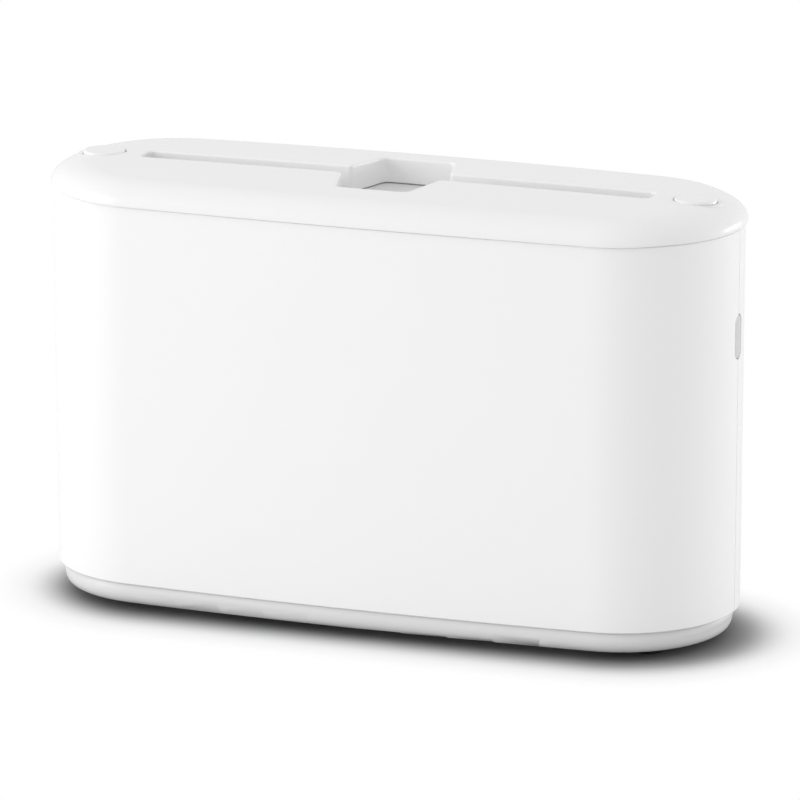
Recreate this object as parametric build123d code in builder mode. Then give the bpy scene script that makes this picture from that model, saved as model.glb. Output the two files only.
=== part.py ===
from build123d import *
from math import atan2, cos, degrees, radians, sin
import os

os.makedirs("parts", exist_ok=True)

# Countertop dispenser for folded towels, in millimetres.
# X runs along the dispenser, Y from front to back and Z up from the counter.
# The origin is on the counter under the middle of the dispenser.

# Plan of the body, measured over the lid
lid_length = 323.0
lid_depth = 116.0
side_bow = 3.0

# Heights, stacked up from the counter
foot_height = 3.8
base_height = 10.2
shell_height = 174.0
lid_height = 13.0

# Walls, edges and the steps between the mouldings
lid_wall = 2.4
shell_wall = 2.4
base_wall = 3.4
floor_thickness = 3.2
lid_overhang = 1.0
shell_draft = 0.5
base_setback = 1.0
base_edge_radius = 5.8
shoulder_radius = 10.0
crown_margin = 3.0
crown_drop = 2.0
ceiling_step = 16.0
seam_gap = 0.3
fit_gap = 0.3
touch_gap = 0.1

# Hand opening and tear slot in the lid
slot_setback = 19.5
slot_width = 12.5
slot_corner = 4.0
hand_depth = 62.0
hand_end = 33.0
hand_waist = 50.0
hand_corner = 5.0
notch_radius = 2.5
throat_wall = 2.0
throat_edge = 1.5

# Locating lip under the lid and spigot on the base
lip_wall = 1.6
lip_reach = 1.6
rib_lift = 3.0
spigot_height = 8.0
tongue_wall = 1.4
tongue_reach = 5.0
tongue_drop = 6.0

# Folded towels and the platform that lifts them, with the room kept for the mechanism at each end
end_room = 55.5
towel_margin = 1.0
platform_travel = 140.0
platform_thickness = 2.5
platform_drop = 1.8
platform_stop_room = 1.5
platform_gap = 0.8
platform_rim = 3.5
platform_rim_wall = 1.8
platform_end_gap = 1.5
web_gap = 3.0
web_thickness = 3.0
web_width = 36.0
web_depth = 22.0
wing_thickness = 3.0
wing_width = 23.0
wing_margin = 13.0
gusset_height = 11.0
gusset_thickness = 2.0

# End guides and the shoes that run on them
guide_thickness = 2.0
guide_width = 92.0
guide_top_gap = 5.5
guide_corner = 6.0
guide_flange = 8.0
guide_flange_drop = 8.0
guide_rail = 5.0
guide_slot = 28.0
guide_foot_length = 14.0
guide_foot_width = 18.0
guide_foot_thickness = 3.0
guide_screw_y = 33.0
shoe_length = 16.0
shoe_drop = 2.0
shoe_overlap = 3.0
shoe_outer = 36.0
shoe_inner = 24.0
shoe_gap = 0.25
stop_gap = 0.3

# Springs under the platform
spring_setback = 37.5
spring_wire = 1.6
spring_radius = 10.6
spring_seat_length = 18.0
spring_seat_height = 3.0
spring_boss_radius = 6.4
spring_boss_height = 4.0

# Push buttons and their springs
button_setback = 21.5
button_radius = 9.5
button_gap = 0.4
button_proud = 0.4
button_cap = 2.0
button_skirt = 6.0
button_skirt_wall = 1.3
button_edge = 0.9
collar_wall = 2.0
stem_thickness = 3.2
stem_width = 10.0
stem_shoulder = 13.0
stem_head = 1.6
neck_width = 4.4
button_spring_radius = 6.3
button_spring_wire = 0.9

# Latches, which hang from brackets under the lid
latch_arm = 9.0
latch_width = 24.0
latch_bar = 2.2
latch_bar_lift = 1.2
latch_hub_radius = 3.2
latch_pad_radius = 1.9
latch_pad_width = 13.0
latch_slot_width = 5.2
latch_slot_length = 6.0
latch_leg = 3.0
latch_drop = 15.5
nose_reach = 3.3
nose_height = 6.2
nose_tip = 1.0
nose_gap = 0.3
pivot_drop = 7.3
pin_radius = 1.5
pin_clearance = 0.05
lug_thickness = 3.0
lug_width = 8.0
lug_gap = 0.6
bracket_thickness = 2.3
bracket_width = 42.0
bracket_inner_margin = 9.0
bracket_outer_margin = 10.0
catch_reach = 5.4
catch_height = 3.0
catch_width = 6.0
catch_gap = 0.7

# Screws, rubber feet and level windows
boss_x = 88.0
boss_setback = 12.0
boss_width = 8.0
boss_height = 13.0
post_width = 9.0
post_rise = 0.4
rib_thickness = 2.0
screw_radius = 1.6
screw_head_radius = 3.0
screw_head_height = 1.5
screw_recess = 1.8
screw_clearance = 0.2
screw_sink = 0.2
screw_tip_room = 1.5
bracket_screw_y = 17.0
bracket_screw_length = 7.0
bracket_boss_width = 6.0
foot_radius = 8.0
foot_setback = 33.5
foot_y = 24.0
foot_recess = 1.0
window_height = 20.0
window_width = 8.0
window_level = 139.6
window_flange = 2.0
window_flange_wall = 1.8
window_gap = 0.2
window_back_gap = 0.6
window_setback = 0.4

# Levels that follow from the stack
base_level = foot_height
floor_level = base_level + floor_thickness
shell_level = base_level + base_height
shell_top = shell_level + shell_height
lid_level = shell_top + seam_gap
lid_top = shell_top + lid_height
platform_top = lid_level - platform_drop
platform_floor = platform_top - platform_thickness
guide_top = shell_top - guide_top_gap
wing_level = platform_floor - web_depth
shoe_level = wing_level - shoe_drop
guide_slot_floor = shoe_level - platform_travel - platform_stop_room
guide_slot_top = shoe_level + shoe_length + stop_gap
bracket_level = lid_level - bracket_thickness

# Insets from the lid's edge, and places along X, that follow
crown_run = (lid_depth - hand_depth) / 2 - crown_margin
button_x = lid_length / 2 - button_setback
spring_x = lid_length / 2 - spring_setback
foot_x = lid_length / 2 - foot_setback
slot_length = 2 * (button_x - slot_setback)
towel_length = lid_length - 2 * end_room
shell_inset = lid_overhang + shell_wall
spigot_inset = shell_inset + fit_gap
spigot_inner = spigot_inset + base_wall - lid_overhang
base_inset = lid_overhang + shell_draft + base_setback
lip_inset = shell_inset + fit_gap + touch_gap
platform_inset = lip_inset + lip_wall + platform_gap
guide_x = towel_length / 2 + towel_margin
web_x = guide_x - web_gap - web_thickness
boss_y = lid_depth / 2 - boss_setback
guide_screw_x = guide_x + guide_thickness + guide_foot_length / 2
pivot_x = button_x - latch_arm
pivot_level = lid_level - pivot_drop
shell_end = lid_length / 2 - shell_inset

# Plan outline: two end arcs and two slightly bowed sides, all tangent
end_radius = lid_depth / 2 - side_bow
end_centre = lid_length / 2 - end_radius
bow_radius = (end_centre**2 + (lid_depth / 2) ** 2 - end_radius**2) / (2 * side_bow)
bow_centre = bow_radius - lid_depth / 2
tangent_angle = degrees(atan2(bow_centre, end_centre))


def plan(level, inset):
    """Plan outline at one height, drawn in from the lid's edge."""
    with BuildSketch(Plane.XY.offset(level)) as outline:
        with BuildLine():
            end = CenterArc((end_centre, 0), end_radius - inset, -tangent_angle, 2 * tangent_angle)
            side = CenterArc((0, -bow_centre), bow_radius - inset, tangent_angle, 180 - 2 * tangent_angle)
            mirror(end, about=Plane.YZ)
            mirror(side, about=Plane.XZ)
        make_face()
    return outline.sketch


def towel_opening(level, growth=0.0):
    """Hand opening and tear slot of the lid, grown on every side."""
    with BuildSketch(Plane.XY.offset(level)) as opening:
        with BuildLine():
            Polyline(
                (hand_waist / 2, 0),
                (hand_end / 2, hand_depth / 2),
                (-hand_end / 2, hand_depth / 2),
                (-hand_waist / 2, 0),
                (-hand_end / 2, -hand_depth / 2),
                (hand_end / 2, -hand_depth / 2),
                close=True,
            )
        make_face()
        fillet(opening.vertices().group_by(Axis.Y)[0], hand_corner)
        fillet(opening.vertices().group_by(Axis.Y)[-1], hand_corner)
        RectangleRounded(slot_length, slot_width, slot_corner)
        for edge_y in (-slot_width / 2, slot_width / 2):
            notches = opening.vertices().filter_by_position(Axis.Y, edge_y - 0.01, edge_y + 0.01)
            fillet(notches.filter_by_position(Axis.X, -hand_waist / 2, hand_waist / 2), notch_radius)
        if growth:
            offset(amount=growth)
    return opening.sketch


def lid_sector(centre, start, spread, rim):
    """One sector of the lid: its half section turned about an upright axis."""
    facing = Plane(
        origin=(*centre, 0),
        x_dir=(cos(radians(start)), sin(radians(start)), 0),
        z_dir=(sin(radians(start)), -cos(radians(start)), 0),
    )
    middle = max(rim - lid_depth / 2, 0)
    with BuildPart() as sector:
        with BuildSketch(facing) as section:
            with BuildLine():
                Polyline(
                    (rim, lid_level),
                    (middle, lid_level),
                    (middle, lid_top),
                    (rim - crown_run, lid_top),
                    (rim, lid_top - crown_drop),
                    close=True,
                )
            make_face()
            shoulder = section.vertices().group_by(Axis.X)[-1].sort_by(Axis.Y)[-1]
            fillet(shoulder, shoulder_radius)
        revolve(axis=Axis((*centre, 0), (0, 0, 1)), revolution_arc=spread)
    return sector.part


def wall(level, height, outside, inside):
    """Closed wall along the plan outline, between two insets."""
    with BuildPart() as ring:
        extrude(plan(level, outside), amount=height)
        extrude(plan(level, inside), amount=height, mode=Mode.SUBTRACT)
    return ring.part


def spring(x, floor, ceiling, radius, wire):
    """Hidden coil spring as a plain tube, as thick as its wire."""
    with BuildPart() as tube:
        with BuildSketch(Plane.XY.offset(floor)):
            with Locations((x, 0)):
                Circle(radius + wire / 2)
                Circle(radius - wire / 2, mode=Mode.SUBTRACT)
        extrude(amount=ceiling - floor)
    return tube.part


def corners(x, y):
    """The four places that mirror one another about both middle planes."""
    return [(x, y), (-x, y), (-x, -y), (x, -y)]


def screws(level, spots, length):
    """Hexagon head screws with their heads down at one level."""
    with BuildPart() as group:
        with BuildSketch(Plane.XY.offset(level)):
            with Locations(*spots):
                RegularPolygon(screw_head_radius, 6)
        extrude(amount=screw_head_height)
        with BuildSketch(Plane.XY.offset(level + screw_head_height)):
            with Locations(*spots):
                Circle(screw_radius)
        extrude(amount=length)
    return group.part


shell_screw_spots = corners(boss_x, boss_y) + [(0, boss_y), (0, -boss_y)]
guide_screw_spots = corners(guide_screw_x, guide_screw_y)
foot_spots = corners(foot_x, foot_y)
screw_level = base_level + screw_sink
post_top = shell_level + spigot_height + post_rise
screw_shank = boss_height + post_top - screw_level - screw_head_height - screw_tip_room

# Base tray, with the spigot inside the shells, screw posts and spring seats
with BuildPart() as base_tray:
    extrude(plan(base_level, base_inset), amount=base_height)
    fillet(base_tray.faces().sort_by(Axis.Z)[0].edges(), base_edge_radius)
    extrude(plan(floor_level, spigot_inset), amount=base_height - floor_thickness + spigot_height)
    extrude(
        plan(floor_level, spigot_inner),
        amount=base_height - floor_thickness + spigot_height,
        mode=Mode.SUBTRACT,
    )
    with BuildSketch(Plane.XY.offset(floor_level)):
        with Locations(*shell_screw_spots):
            Rectangle(post_width, post_width)
    extrude(amount=post_top - touch_gap - floor_level)
    with BuildSketch(Plane.XY.offset(floor_level)):
        with Locations((-spring_x, 0), (spring_x, 0)):
            Rectangle(spring_seat_length, rib_thickness)
            Rectangle(rib_thickness, spring_seat_length)
    extrude(amount=spring_seat_height)
    with BuildSketch(Plane.XY.offset(floor_level)):
        with GridLocations(2 * boss_x / 4, 0, 5, 1):
            Rectangle(rib_thickness, 2 * boss_y)
        Rectangle(2 * boss_x, rib_thickness)
    extrude(amount=spring_seat_height)
    with BuildSketch(Plane.XY.offset(base_level)):
        with Locations(*foot_spots):
            Circle(foot_radius + fit_gap)
    extrude(amount=foot_recess, mode=Mode.SUBTRACT)
    with BuildSketch(Plane.XY.offset(base_level)):
        with Locations(*shell_screw_spots, *guide_screw_spots):
            recess_width = 2 * (screw_head_radius + screw_clearance)
            Rectangle(recess_width, recess_width)
    extrude(amount=screw_recess, mode=Mode.SUBTRACT)
    with BuildSketch(Plane.XY.offset(base_level)):
        with Locations(*shell_screw_spots, *guide_screw_spots):
            Circle(screw_radius + screw_clearance)
    extrude(amount=post_top - base_level, mode=Mode.SUBTRACT)
base_tray.part.label = "base_tray"
export_step(base_tray.part, "parts/base_tray.step")

# Rubber feet, pressed into recesses in the base
with BuildPart() as rubber_feet:
    with BuildSketch():
        with Locations(*foot_spots):
            Circle(foot_radius)
    extrude(amount=foot_height + foot_recess)
rubber_feet.part.label = "rubber_feet"
export_step(rubber_feet.part, "parts/rubber_feet.step")

# Both shells in one: tapered wall, screw bosses, latch catches and window holes
with BuildPart() as shell_fittings:
    with BuildSketch(Plane.XY.offset(post_top)):
        with Locations(*shell_screw_spots):
            Rectangle(boss_width, boss_width)
        for spot_x, spot_y in shell_screw_spots:
            with Locations((spot_x, spot_y + boss_setback / 2 * (1 if spot_y > 0 else -1))):
                Rectangle(rib_thickness, boss_setback)
    extrude(amount=boss_height)
    with BuildSketch(Plane.XY.offset(post_top)):
        with Locations(*shell_screw_spots):
            Circle(screw_radius)
    extrude(amount=boss_height, mode=Mode.SUBTRACT)
    catch_level = pivot_level + latch_bar_lift - latch_bar / 2 - latch_drop + nose_height + nose_gap
    with BuildSketch(Plane.XY.offset(catch_level)):
        with Locations(*corners(shell_end - catch_reach / 2 + shell_wall / 2, (latch_width - catch_width) / 2)):
            Rectangle(catch_reach + shell_wall, catch_width)
    extrude(amount=catch_height)
    extrude(plan(shell_level, shell_inset - shell_wall / 2), amount=shell_height, mode=Mode.INTERSECT)

with BuildPart() as both_shells:
    loft(
        sections=[plan(shell_level, lid_overhang + shell_draft), plan(shell_top, lid_overhang)],
        ruled=True,
    )
    extrude(plan(shell_level, shell_inset), amount=shell_height, mode=Mode.SUBTRACT)
    add(shell_fittings.part)
    with BuildSketch(Plane.YZ):
        with Locations((0, window_level)):
            SlotOverall(window_height + 2 * window_gap, window_width + 2 * window_gap, rotation=90)
    extrude(amount=lid_length / 2, both=True, mode=Mode.SUBTRACT)

with BuildPart() as front_shell:
    add(both_shells.part)
    split(bisect_by=Plane.XZ.offset(seam_gap / 2), keep=Keep.TOP)
front_shell.part.label = "front_shell"
export_step(front_shell.part, "parts/front_shell.step")

# The rear shell carries a tongue behind each end seam, clear of the front shell's wall
tongue_level = shell_level + spigot_height + 2 * fit_gap
tongue_height = shell_top - tongue_drop - tongue_level
with BuildPart() as front_wall_space:
    add(wall(tongue_level, tongue_height, lid_overhang, shell_inset + touch_gap))
    with BuildSketch(Plane.XY.offset(tongue_level)):
        with Locations((0, (seam_gap - lid_depth) / 2)):
            Rectangle(lid_length, lid_depth)
    extrude(amount=tongue_height, mode=Mode.INTERSECT)

with BuildPart() as seam_tongue:
    add(wall(tongue_level, tongue_height, shell_inset - shell_wall / 2, shell_inset + touch_gap + tongue_wall))
    with BuildSketch(Plane.XY.offset(tongue_level)):
        Rectangle(lid_length, 2 * tongue_reach)
    extrude(amount=tongue_height, mode=Mode.INTERSECT)
    add(front_wall_space.part, mode=Mode.SUBTRACT)
    with BuildSketch(Plane.YZ):
        with Locations((0, window_level)):
            SlotOverall(
                window_height + 2 * window_flange + 2 * fit_gap,
                window_width + 2 * window_flange + 2 * fit_gap,
                rotation=90,
            )
    extrude(amount=lid_length / 2, both=True, mode=Mode.SUBTRACT)

with BuildPart() as rear_shell:
    mirror(front_shell.part, about=Plane.XZ)
    add(seam_tongue.part)
rear_shell.part.label = "rear_shell"
export_step(rear_shell.part, "parts/rear_shell.step")

# Level window at each end: a lens in the wall and a flange behind it
with BuildPart() as window_right:
    window_inside = shell_end - window_flange_wall - window_back_gap
    with BuildSketch(Plane.YZ.offset(window_inside)):
        with Locations((0, window_level)):
            SlotOverall(window_height + 2 * window_flange, window_width + 2 * window_flange, rotation=90)
    extrude(amount=window_flange_wall)
    with BuildSketch(Plane.YZ.offset(window_inside)):
        with Locations((0, window_level)):
            SlotOverall(window_height, window_width, rotation=90)
    extrude(amount=lid_length / 2 - lid_overhang - window_setback - window_inside)
window_right.part.label = "window_right"
export_step(window_right.part, "parts/window_right.step")

with BuildPart() as window_left:
    mirror(window_right.part, about=Plane.YZ)
window_left.part.label = "window_left"
export_step(window_left.part, "parts/window_left.step")

# Screws from below: six into the shells, four into the guides
shell_screws = screws(screw_level, shell_screw_spots, screw_shank)
shell_screws.label = "shell_screws"
export_step(shell_screws, "parts/shell_screws.step")

guide_shank = floor_level + guide_foot_thickness - screw_level - screw_head_height
guide_screws = screws(screw_level, guide_screw_spots, guide_shank)
guide_screws.label = "guide_screws"
export_step(guide_screws, "parts/guide_screws.step")

# End guide: a slotted partition with rails, flanges and two screwed feet
with BuildPart() as guide_right:
    with BuildSketch(Plane.YZ.offset(guide_x)):
        with Locations((0, (floor_level + guide_top) / 2)):
            Rectangle(guide_width, guide_top - floor_level)
        with Locations((0, (guide_slot_floor + guide_slot_top) / 2)):
            Rectangle(guide_slot, guide_slot_top - guide_slot_floor, mode=Mode.SUBTRACT)
    extrude(amount=guide_thickness)
    fillet(guide_right.edges().filter_by(Axis.X).group_by(Axis.Z)[-1], guide_corner)
    outer_face = guide_x + guide_thickness
    for side in (-1, 1):
        with BuildSketch(Plane.XY.offset(floor_level)):
            with Locations((outer_face + guide_flange / 2, side * (guide_width - guide_thickness) / 2)):
                Rectangle(guide_flange, guide_thickness)
            with Locations((outer_face + guide_rail / 2, side * (shoe_outer / 2 + 2 * guide_thickness))):
                Rectangle(guide_rail, guide_thickness)
        extrude(amount=guide_top - floor_level - guide_flange_drop)
        with BuildSketch(Plane.XY.offset(floor_level)):
            with Locations((outer_face + guide_foot_length / 2, side * guide_screw_y)):
                Rectangle(guide_foot_length, guide_foot_width)
        extrude(amount=guide_foot_thickness)
    with BuildSketch(Plane.XY.offset(floor_level)):
        with Locations((guide_screw_x, guide_screw_y), (guide_screw_x, -guide_screw_y)):
            Circle(screw_radius)
    extrude(amount=guide_foot_thickness, mode=Mode.SUBTRACT)
guide_right.part.label = "guide_right"
export_step(guide_right.part, "parts/guide_right.step")

with BuildPart() as guide_left:
    mirror(guide_right.part, about=Plane.YZ)
guide_left.part.label = "guide_left"
export_step(guide_left.part, "parts/guide_left.step")

# Platform under the towels: ribbed plate, with a dropped wing at each end over its spring
with BuildPart() as platform_end:
    with BuildSketch(Plane.XZ):
        with BuildLine():
            Polyline(
                (web_x, platform_floor),
                (web_x, wing_level),
                (spring_x + wing_margin, wing_level),
                (spring_x + wing_margin, wing_level + wing_thickness),
                (web_x + web_thickness, wing_level + wing_thickness),
                (web_x + web_thickness, platform_floor),
                close=True,
            )
        make_face()
    extrude(amount=wing_width / 2, both=True)
    with BuildSketch(Plane.YZ.offset(web_x)):
        with Locations((0, platform_floor - web_depth / 2)):
            Rectangle(web_width, web_depth)
    extrude(amount=web_thickness)
    for side in (-1, 1):
        with BuildSketch(Plane.XZ.offset(side * (wing_width - gusset_thickness) / 2)):
            with BuildLine():
                Polyline(
                    (web_x + web_thickness, wing_level + wing_thickness + gusset_height),
                    (web_x + web_thickness, wing_level + wing_thickness),
                    (spring_x, wing_level + wing_thickness),
                    close=True,
                )
            make_face()
        extrude(amount=gusset_thickness / 2, both=True)
    with BuildSketch(Plane.XY.offset(wing_level)):
        with Locations((spring_x, 0)):
            Circle(spring_boss_radius)
    extrude(amount=-spring_boss_height)

with BuildPart() as platform_plate:
    plate_length = 2 * (guide_x - platform_end_gap)
    extrude(plan(platform_floor, platform_inset), amount=platform_thickness)
    extrude(plan(platform_floor - platform_rim, platform_inset), amount=platform_rim)
    extrude(
        plan(platform_floor - platform_rim, platform_inset + platform_rim_wall),
        amount=platform_rim,
        mode=Mode.SUBTRACT,
    )
    with BuildSketch(Plane.XY.offset(platform_floor - platform_rim)):
        with GridLocations(plate_length / 6, 0, 5, 1):
            Rectangle(rib_thickness, lid_depth - 2 * platform_inset - platform_rim_wall)
        with GridLocations(0, web_width, 1, 2):
            Rectangle(plate_length, rib_thickness)
    extrude(amount=platform_rim)
    with BuildSketch(Plane.XY.offset(platform_floor - platform_rim)):
        RectangleRounded(plate_length, lid_depth, hand_corner)
    extrude(amount=platform_rim + platform_thickness, mode=Mode.INTERSECT)
    add(platform_end.part)
    mirror(platform_end.part, about=Plane.YZ)
platform_plate.part.label = "platform_plate"
export_step(platform_plate.part, "parts/platform_plate.step")

# Shoes on the platform's webs, each grooved over one edge of a guide's slot
with BuildPart() as platform_shoes:
    shoe_face = web_x + web_thickness
    shoe_width = (shoe_outer - shoe_inner) / 2
    shoe_depth = guide_x + guide_thickness + shoe_overlap - shoe_face
    with BuildSketch(Plane.XY.offset(shoe_level)):
        for corner_x, corner_y in corners(shoe_face + shoe_depth / 2, (shoe_outer + shoe_inner) / 4):
            with Locations((corner_x, corner_y)):
                Rectangle(shoe_depth, shoe_width)
        groove_width = guide_thickness + 2 * shoe_gap
        groove_start = guide_slot / 2 - 2 * shoe_gap
        for corner_x, corner_y in corners(guide_x + guide_thickness / 2, groove_start + shoe_width / 2):
            with Locations((corner_x, corner_y)):
                Rectangle(groove_width, shoe_width, mode=Mode.SUBTRACT)
    extrude(amount=shoe_length)
platform_shoes.part.label = "platform_shoes"
export_step(platform_shoes.part, "parts/platform_shoes.step")

# Springs between the base and the platform's wings
platform_spring_right = spring(spring_x, floor_level, wing_level, spring_radius, spring_wire)
platform_spring_right.label = "platform_spring_right"
export_step(platform_spring_right, "parts/platform_spring_right.step")

with BuildPart() as platform_spring_left:
    mirror(platform_spring_right, about=Plane.YZ)
platform_spring_left.part.label = "platform_spring_left"
export_step(platform_spring_left.part, "parts/platform_spring_left.step")

# What is left standing inside the lid: throat, button collars, screw bosses and ribs
bracket_screw_spots = corners(button_x, bracket_screw_y)
collar_radius = button_radius + button_gap
with BuildPart() as lid_inner_walls:
    with BuildSketch(Plane.XY.offset(lid_level + rib_lift)):
        with GridLocations(lid_length / 4, 0, 3, 1):
            Rectangle(rib_thickness, lid_depth)
        Rectangle(lid_length, rib_thickness)
    extrude(amount=lid_height)
    with BuildSketch(Plane.XY.offset(lid_level)):
        with Locations((-button_x, 0), (button_x, 0)):
            Rectangle(2 * collar_radius, bracket_width)
    extrude(amount=2 * lid_height, mode=Mode.SUBTRACT)
    extrude(towel_opening(lid_level, throat_wall), amount=lid_height)
    with BuildSketch(Plane.XY.offset(lid_level)):
        with Locations((-button_x, 0), (button_x, 0)):
            Circle(collar_radius + collar_wall)
        with Locations(*bracket_screw_spots):
            Rectangle(bracket_boss_width, bracket_boss_width)
    extrude(amount=lid_height)

with BuildPart() as lid_cavity:
    extrude(plan(lid_level, lip_inset + lip_wall), amount=lid_top - crown_drop - lid_wall - lid_level)
    extrude(plan(lid_level, ceiling_step), amount=lid_top - lid_wall - lid_level)
    add(lid_inner_walls.part, mode=Mode.SUBTRACT)

# Lid cover: crowned top with a rolled shoulder, a throat that guides the towels,
# and a lip that seats inside the shells
with BuildPart() as lid_cover:
    add(lid_sector((end_centre, 0), -tangent_angle, 2 * tangent_angle, end_radius))
    add(lid_sector((0, -bow_centre), tangent_angle, 180 - 2 * tangent_angle, bow_radius))
    add(lid_sector((-end_centre, 0), 180 - tangent_angle, 2 * tangent_angle, end_radius))
    add(lid_sector((0, bow_centre), 180 + tangent_angle, 180 - 2 * tangent_angle, bow_radius))
    extrude(towel_opening(lid_level), amount=lid_height, mode=Mode.SUBTRACT)
    rim = lid_cover.faces().sort_by(Axis.Z)[-1].inner_wires().sort_by(SortBy.LENGTH)[-1]
    chamfer(rim.edges(), throat_edge)
    add(lid_cavity.part, mode=Mode.SUBTRACT)
    add(wall(lid_level - lip_reach, lip_reach, lip_inset, lip_inset + lip_wall))
    with BuildSketch(Plane.XY.offset(lid_level)):
        with Locations((-button_x, 0), (button_x, 0)):
            Circle(collar_radius)
    extrude(amount=lid_height, mode=Mode.SUBTRACT)
    with BuildSketch(Plane.XY.offset(lid_level)):
        with Locations(*bracket_screw_spots):
            Circle(screw_radius)
    extrude(amount=bracket_screw_length, mode=Mode.SUBTRACT)
lid_cover.part.label = "lid_cover"
export_step(lid_cover.part, "parts/lid_cover.step")

# Bracket under the lid at each end, which guides a button's stem and carries a latch
with BuildPart() as button_bracket_right:
    bracket_start = pivot_x - bracket_inner_margin
    bracket_end = button_x + bracket_outer_margin
    lug_y = (latch_width + lug_thickness) / 2 + lug_gap
    with BuildSketch(Plane.XY.offset(bracket_level)):
        with Locations(((bracket_start + bracket_end) / 2, 0)):
            Rectangle(bracket_end - bracket_start, bracket_width)
    extrude(amount=bracket_thickness)
    for side in (-1, 1):
        with BuildSketch(Plane.XZ.offset(side * lug_y)):
            with Locations((pivot_x, (pivot_level + bracket_level) / 2)):
                Rectangle(lug_width, bracket_level - pivot_level)
            with Locations((pivot_x, pivot_level)):
                Circle(lug_width / 2)
        extrude(amount=lug_thickness / 2, both=True)
    with BuildSketch(Plane.XZ):
        with Locations((pivot_x, pivot_level)):
            Circle(pin_radius)
    extrude(amount=lid_depth / 2, both=True, mode=Mode.SUBTRACT)
    with BuildSketch(Plane.XY.offset(bracket_level)):
        with Locations((button_x, 0)):
            Rectangle(stem_thickness + 2 * fit_gap, stem_width + 2 * fit_gap)
        with Locations((button_x, bracket_screw_y), (button_x, -bracket_screw_y)):
            Circle(screw_radius + screw_clearance)
    extrude(amount=bracket_thickness, mode=Mode.SUBTRACT)
button_bracket_right.part.label = "button_bracket_right"
export_step(button_bracket_right.part, "parts/button_bracket_right.step")

with BuildPart() as button_bracket_left:
    mirror(button_bracket_right.part, about=Plane.YZ)
button_bracket_left.part.label = "button_bracket_left"
export_step(button_bracket_left.part, "parts/button_bracket_left.step")

bracket_shank = bracket_thickness + bracket_screw_length - screw_tip_room
bracket_screws = screws(bracket_level - screw_head_height, bracket_screw_spots, bracket_shank)
bracket_screws.label = "bracket_screws"
export_step(bracket_screws, "parts/bracket_screws.step")

# Latch pin at each end, held by the bracket's lugs
with BuildPart() as latch_pin_right:
    with BuildSketch(Plane.XZ):
        with Locations((pivot_x, pivot_level)):
            Circle(pin_radius)
    extrude(amount=lug_y + lug_thickness / 2, both=True)
latch_pin_right.part.label = "latch_pin_right"
export_step(latch_pin_right.part, "parts/latch_pin_right.step")

with BuildPart() as latch_pin_left:
    mirror(latch_pin_right.part, about=Plane.YZ)
latch_pin_left.part.label = "latch_pin_left"
export_step(latch_pin_left.part, "parts/latch_pin_left.step")

# Latch: a cranked lever, slotted round the button's neck, with a hook under the catches
with BuildPart() as latch_right:
    bar_middle = pivot_level + latch_bar_lift
    leg_x = shell_end - catch_reach - catch_gap
    with BuildSketch(Plane.XZ):
        with Locations((pivot_x, pivot_level)):
            Circle(latch_hub_radius)
        with BuildLine():
            Polyline(
                (pivot_x, bar_middle + latch_bar / 2),
                (leg_x, bar_middle + latch_bar / 2),
                (leg_x, bar_middle - latch_bar / 2 - latch_drop + nose_height),
                (leg_x + nose_reach, bar_middle - latch_bar / 2 - latch_drop + nose_height),
                (leg_x + nose_reach, bar_middle - latch_bar / 2 - latch_drop + nose_height - nose_tip),
                (leg_x, bar_middle - latch_bar / 2 - latch_drop),
                (leg_x - latch_leg, bar_middle - latch_bar / 2 - latch_drop),
                (leg_x - latch_leg, bar_middle - latch_bar / 2),
                (pivot_x, bar_middle - latch_bar / 2),
                close=True,
            )
        make_face()
    extrude(amount=latch_width / 2, both=True)
    with BuildSketch(Plane.XZ):
        with Locations((button_x, bar_middle)):
            Circle(latch_pad_radius)
    extrude(amount=latch_pad_width / 2, both=True)
    with BuildSketch(Plane.XY.offset(bar_middle)):
        with Locations((button_x, 0)):
            Rectangle(latch_slot_length, latch_slot_width)
    extrude(amount=2 * latch_pad_radius, both=True, mode=Mode.SUBTRACT)
    with BuildSketch(Plane.XZ):
        with Locations((pivot_x, pivot_level)):
            Circle(pin_radius + pin_clearance)
    extrude(amount=latch_width, both=True, mode=Mode.SUBTRACT)
latch_right.part.label = "latch_right"
export_step(latch_right.part, "parts/latch_right.step")

with BuildPart() as latch_left:
    mirror(latch_right.part, about=Plane.YZ)
latch_left.part.label = "latch_left"
export_step(latch_left.part, "parts/latch_left.step")

# Push button: round cap, skirt in the lid's collar, and a necked stem through the latch
with BuildPart() as button_right:
    button_top = lid_top + button_proud
    pad_top = bar_middle + latch_pad_radius + touch_gap
    pad_floor = bar_middle - latch_pad_radius - touch_gap
    with BuildSketch(Plane.XY.offset(button_top - button_skirt)):
        with Locations((button_x, 0)):
            Circle(button_radius)
    extrude(amount=button_skirt)
    chamfer(button_right.faces().sort_by(Axis.Z)[-1].edges(), button_edge)
    with BuildSketch(Plane.XY.offset(button_top - button_skirt)):
        with Locations((button_x, 0)):
            Circle(button_radius - button_skirt_wall)
    extrude(amount=button_skirt - button_cap, mode=Mode.SUBTRACT)
    with BuildSketch(Plane.XY.offset(pad_top)):
        with Locations((button_x, 0)):
            Rectangle(stem_thickness, stem_width)
    extrude(amount=button_top - button_cap - pad_top)
    with BuildSketch(Plane.XY.offset(pad_floor)):
        with Locations((button_x, 0)):
            Rectangle(stem_thickness, neck_width)
    extrude(amount=pad_top - pad_floor)
    with BuildSketch(Plane.XY.offset(pad_floor - stem_head)):
        with Locations((button_x, 0)):
            Rectangle(stem_thickness, stem_width)
    extrude(amount=stem_head)
    with BuildSketch(Plane.XY.offset(pad_top)):
        with Locations((button_x, 0)):
            Rectangle(stem_thickness, stem_shoulder)
    extrude(amount=bracket_level - touch_gap - pad_top)
button_right.part.label = "button_right"
export_step(button_right.part, "parts/button_right.step")

with BuildPart() as button_left:
    mirror(button_right.part, about=Plane.YZ)
button_left.part.label = "button_left"
export_step(button_left.part, "parts/button_left.step")

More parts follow.
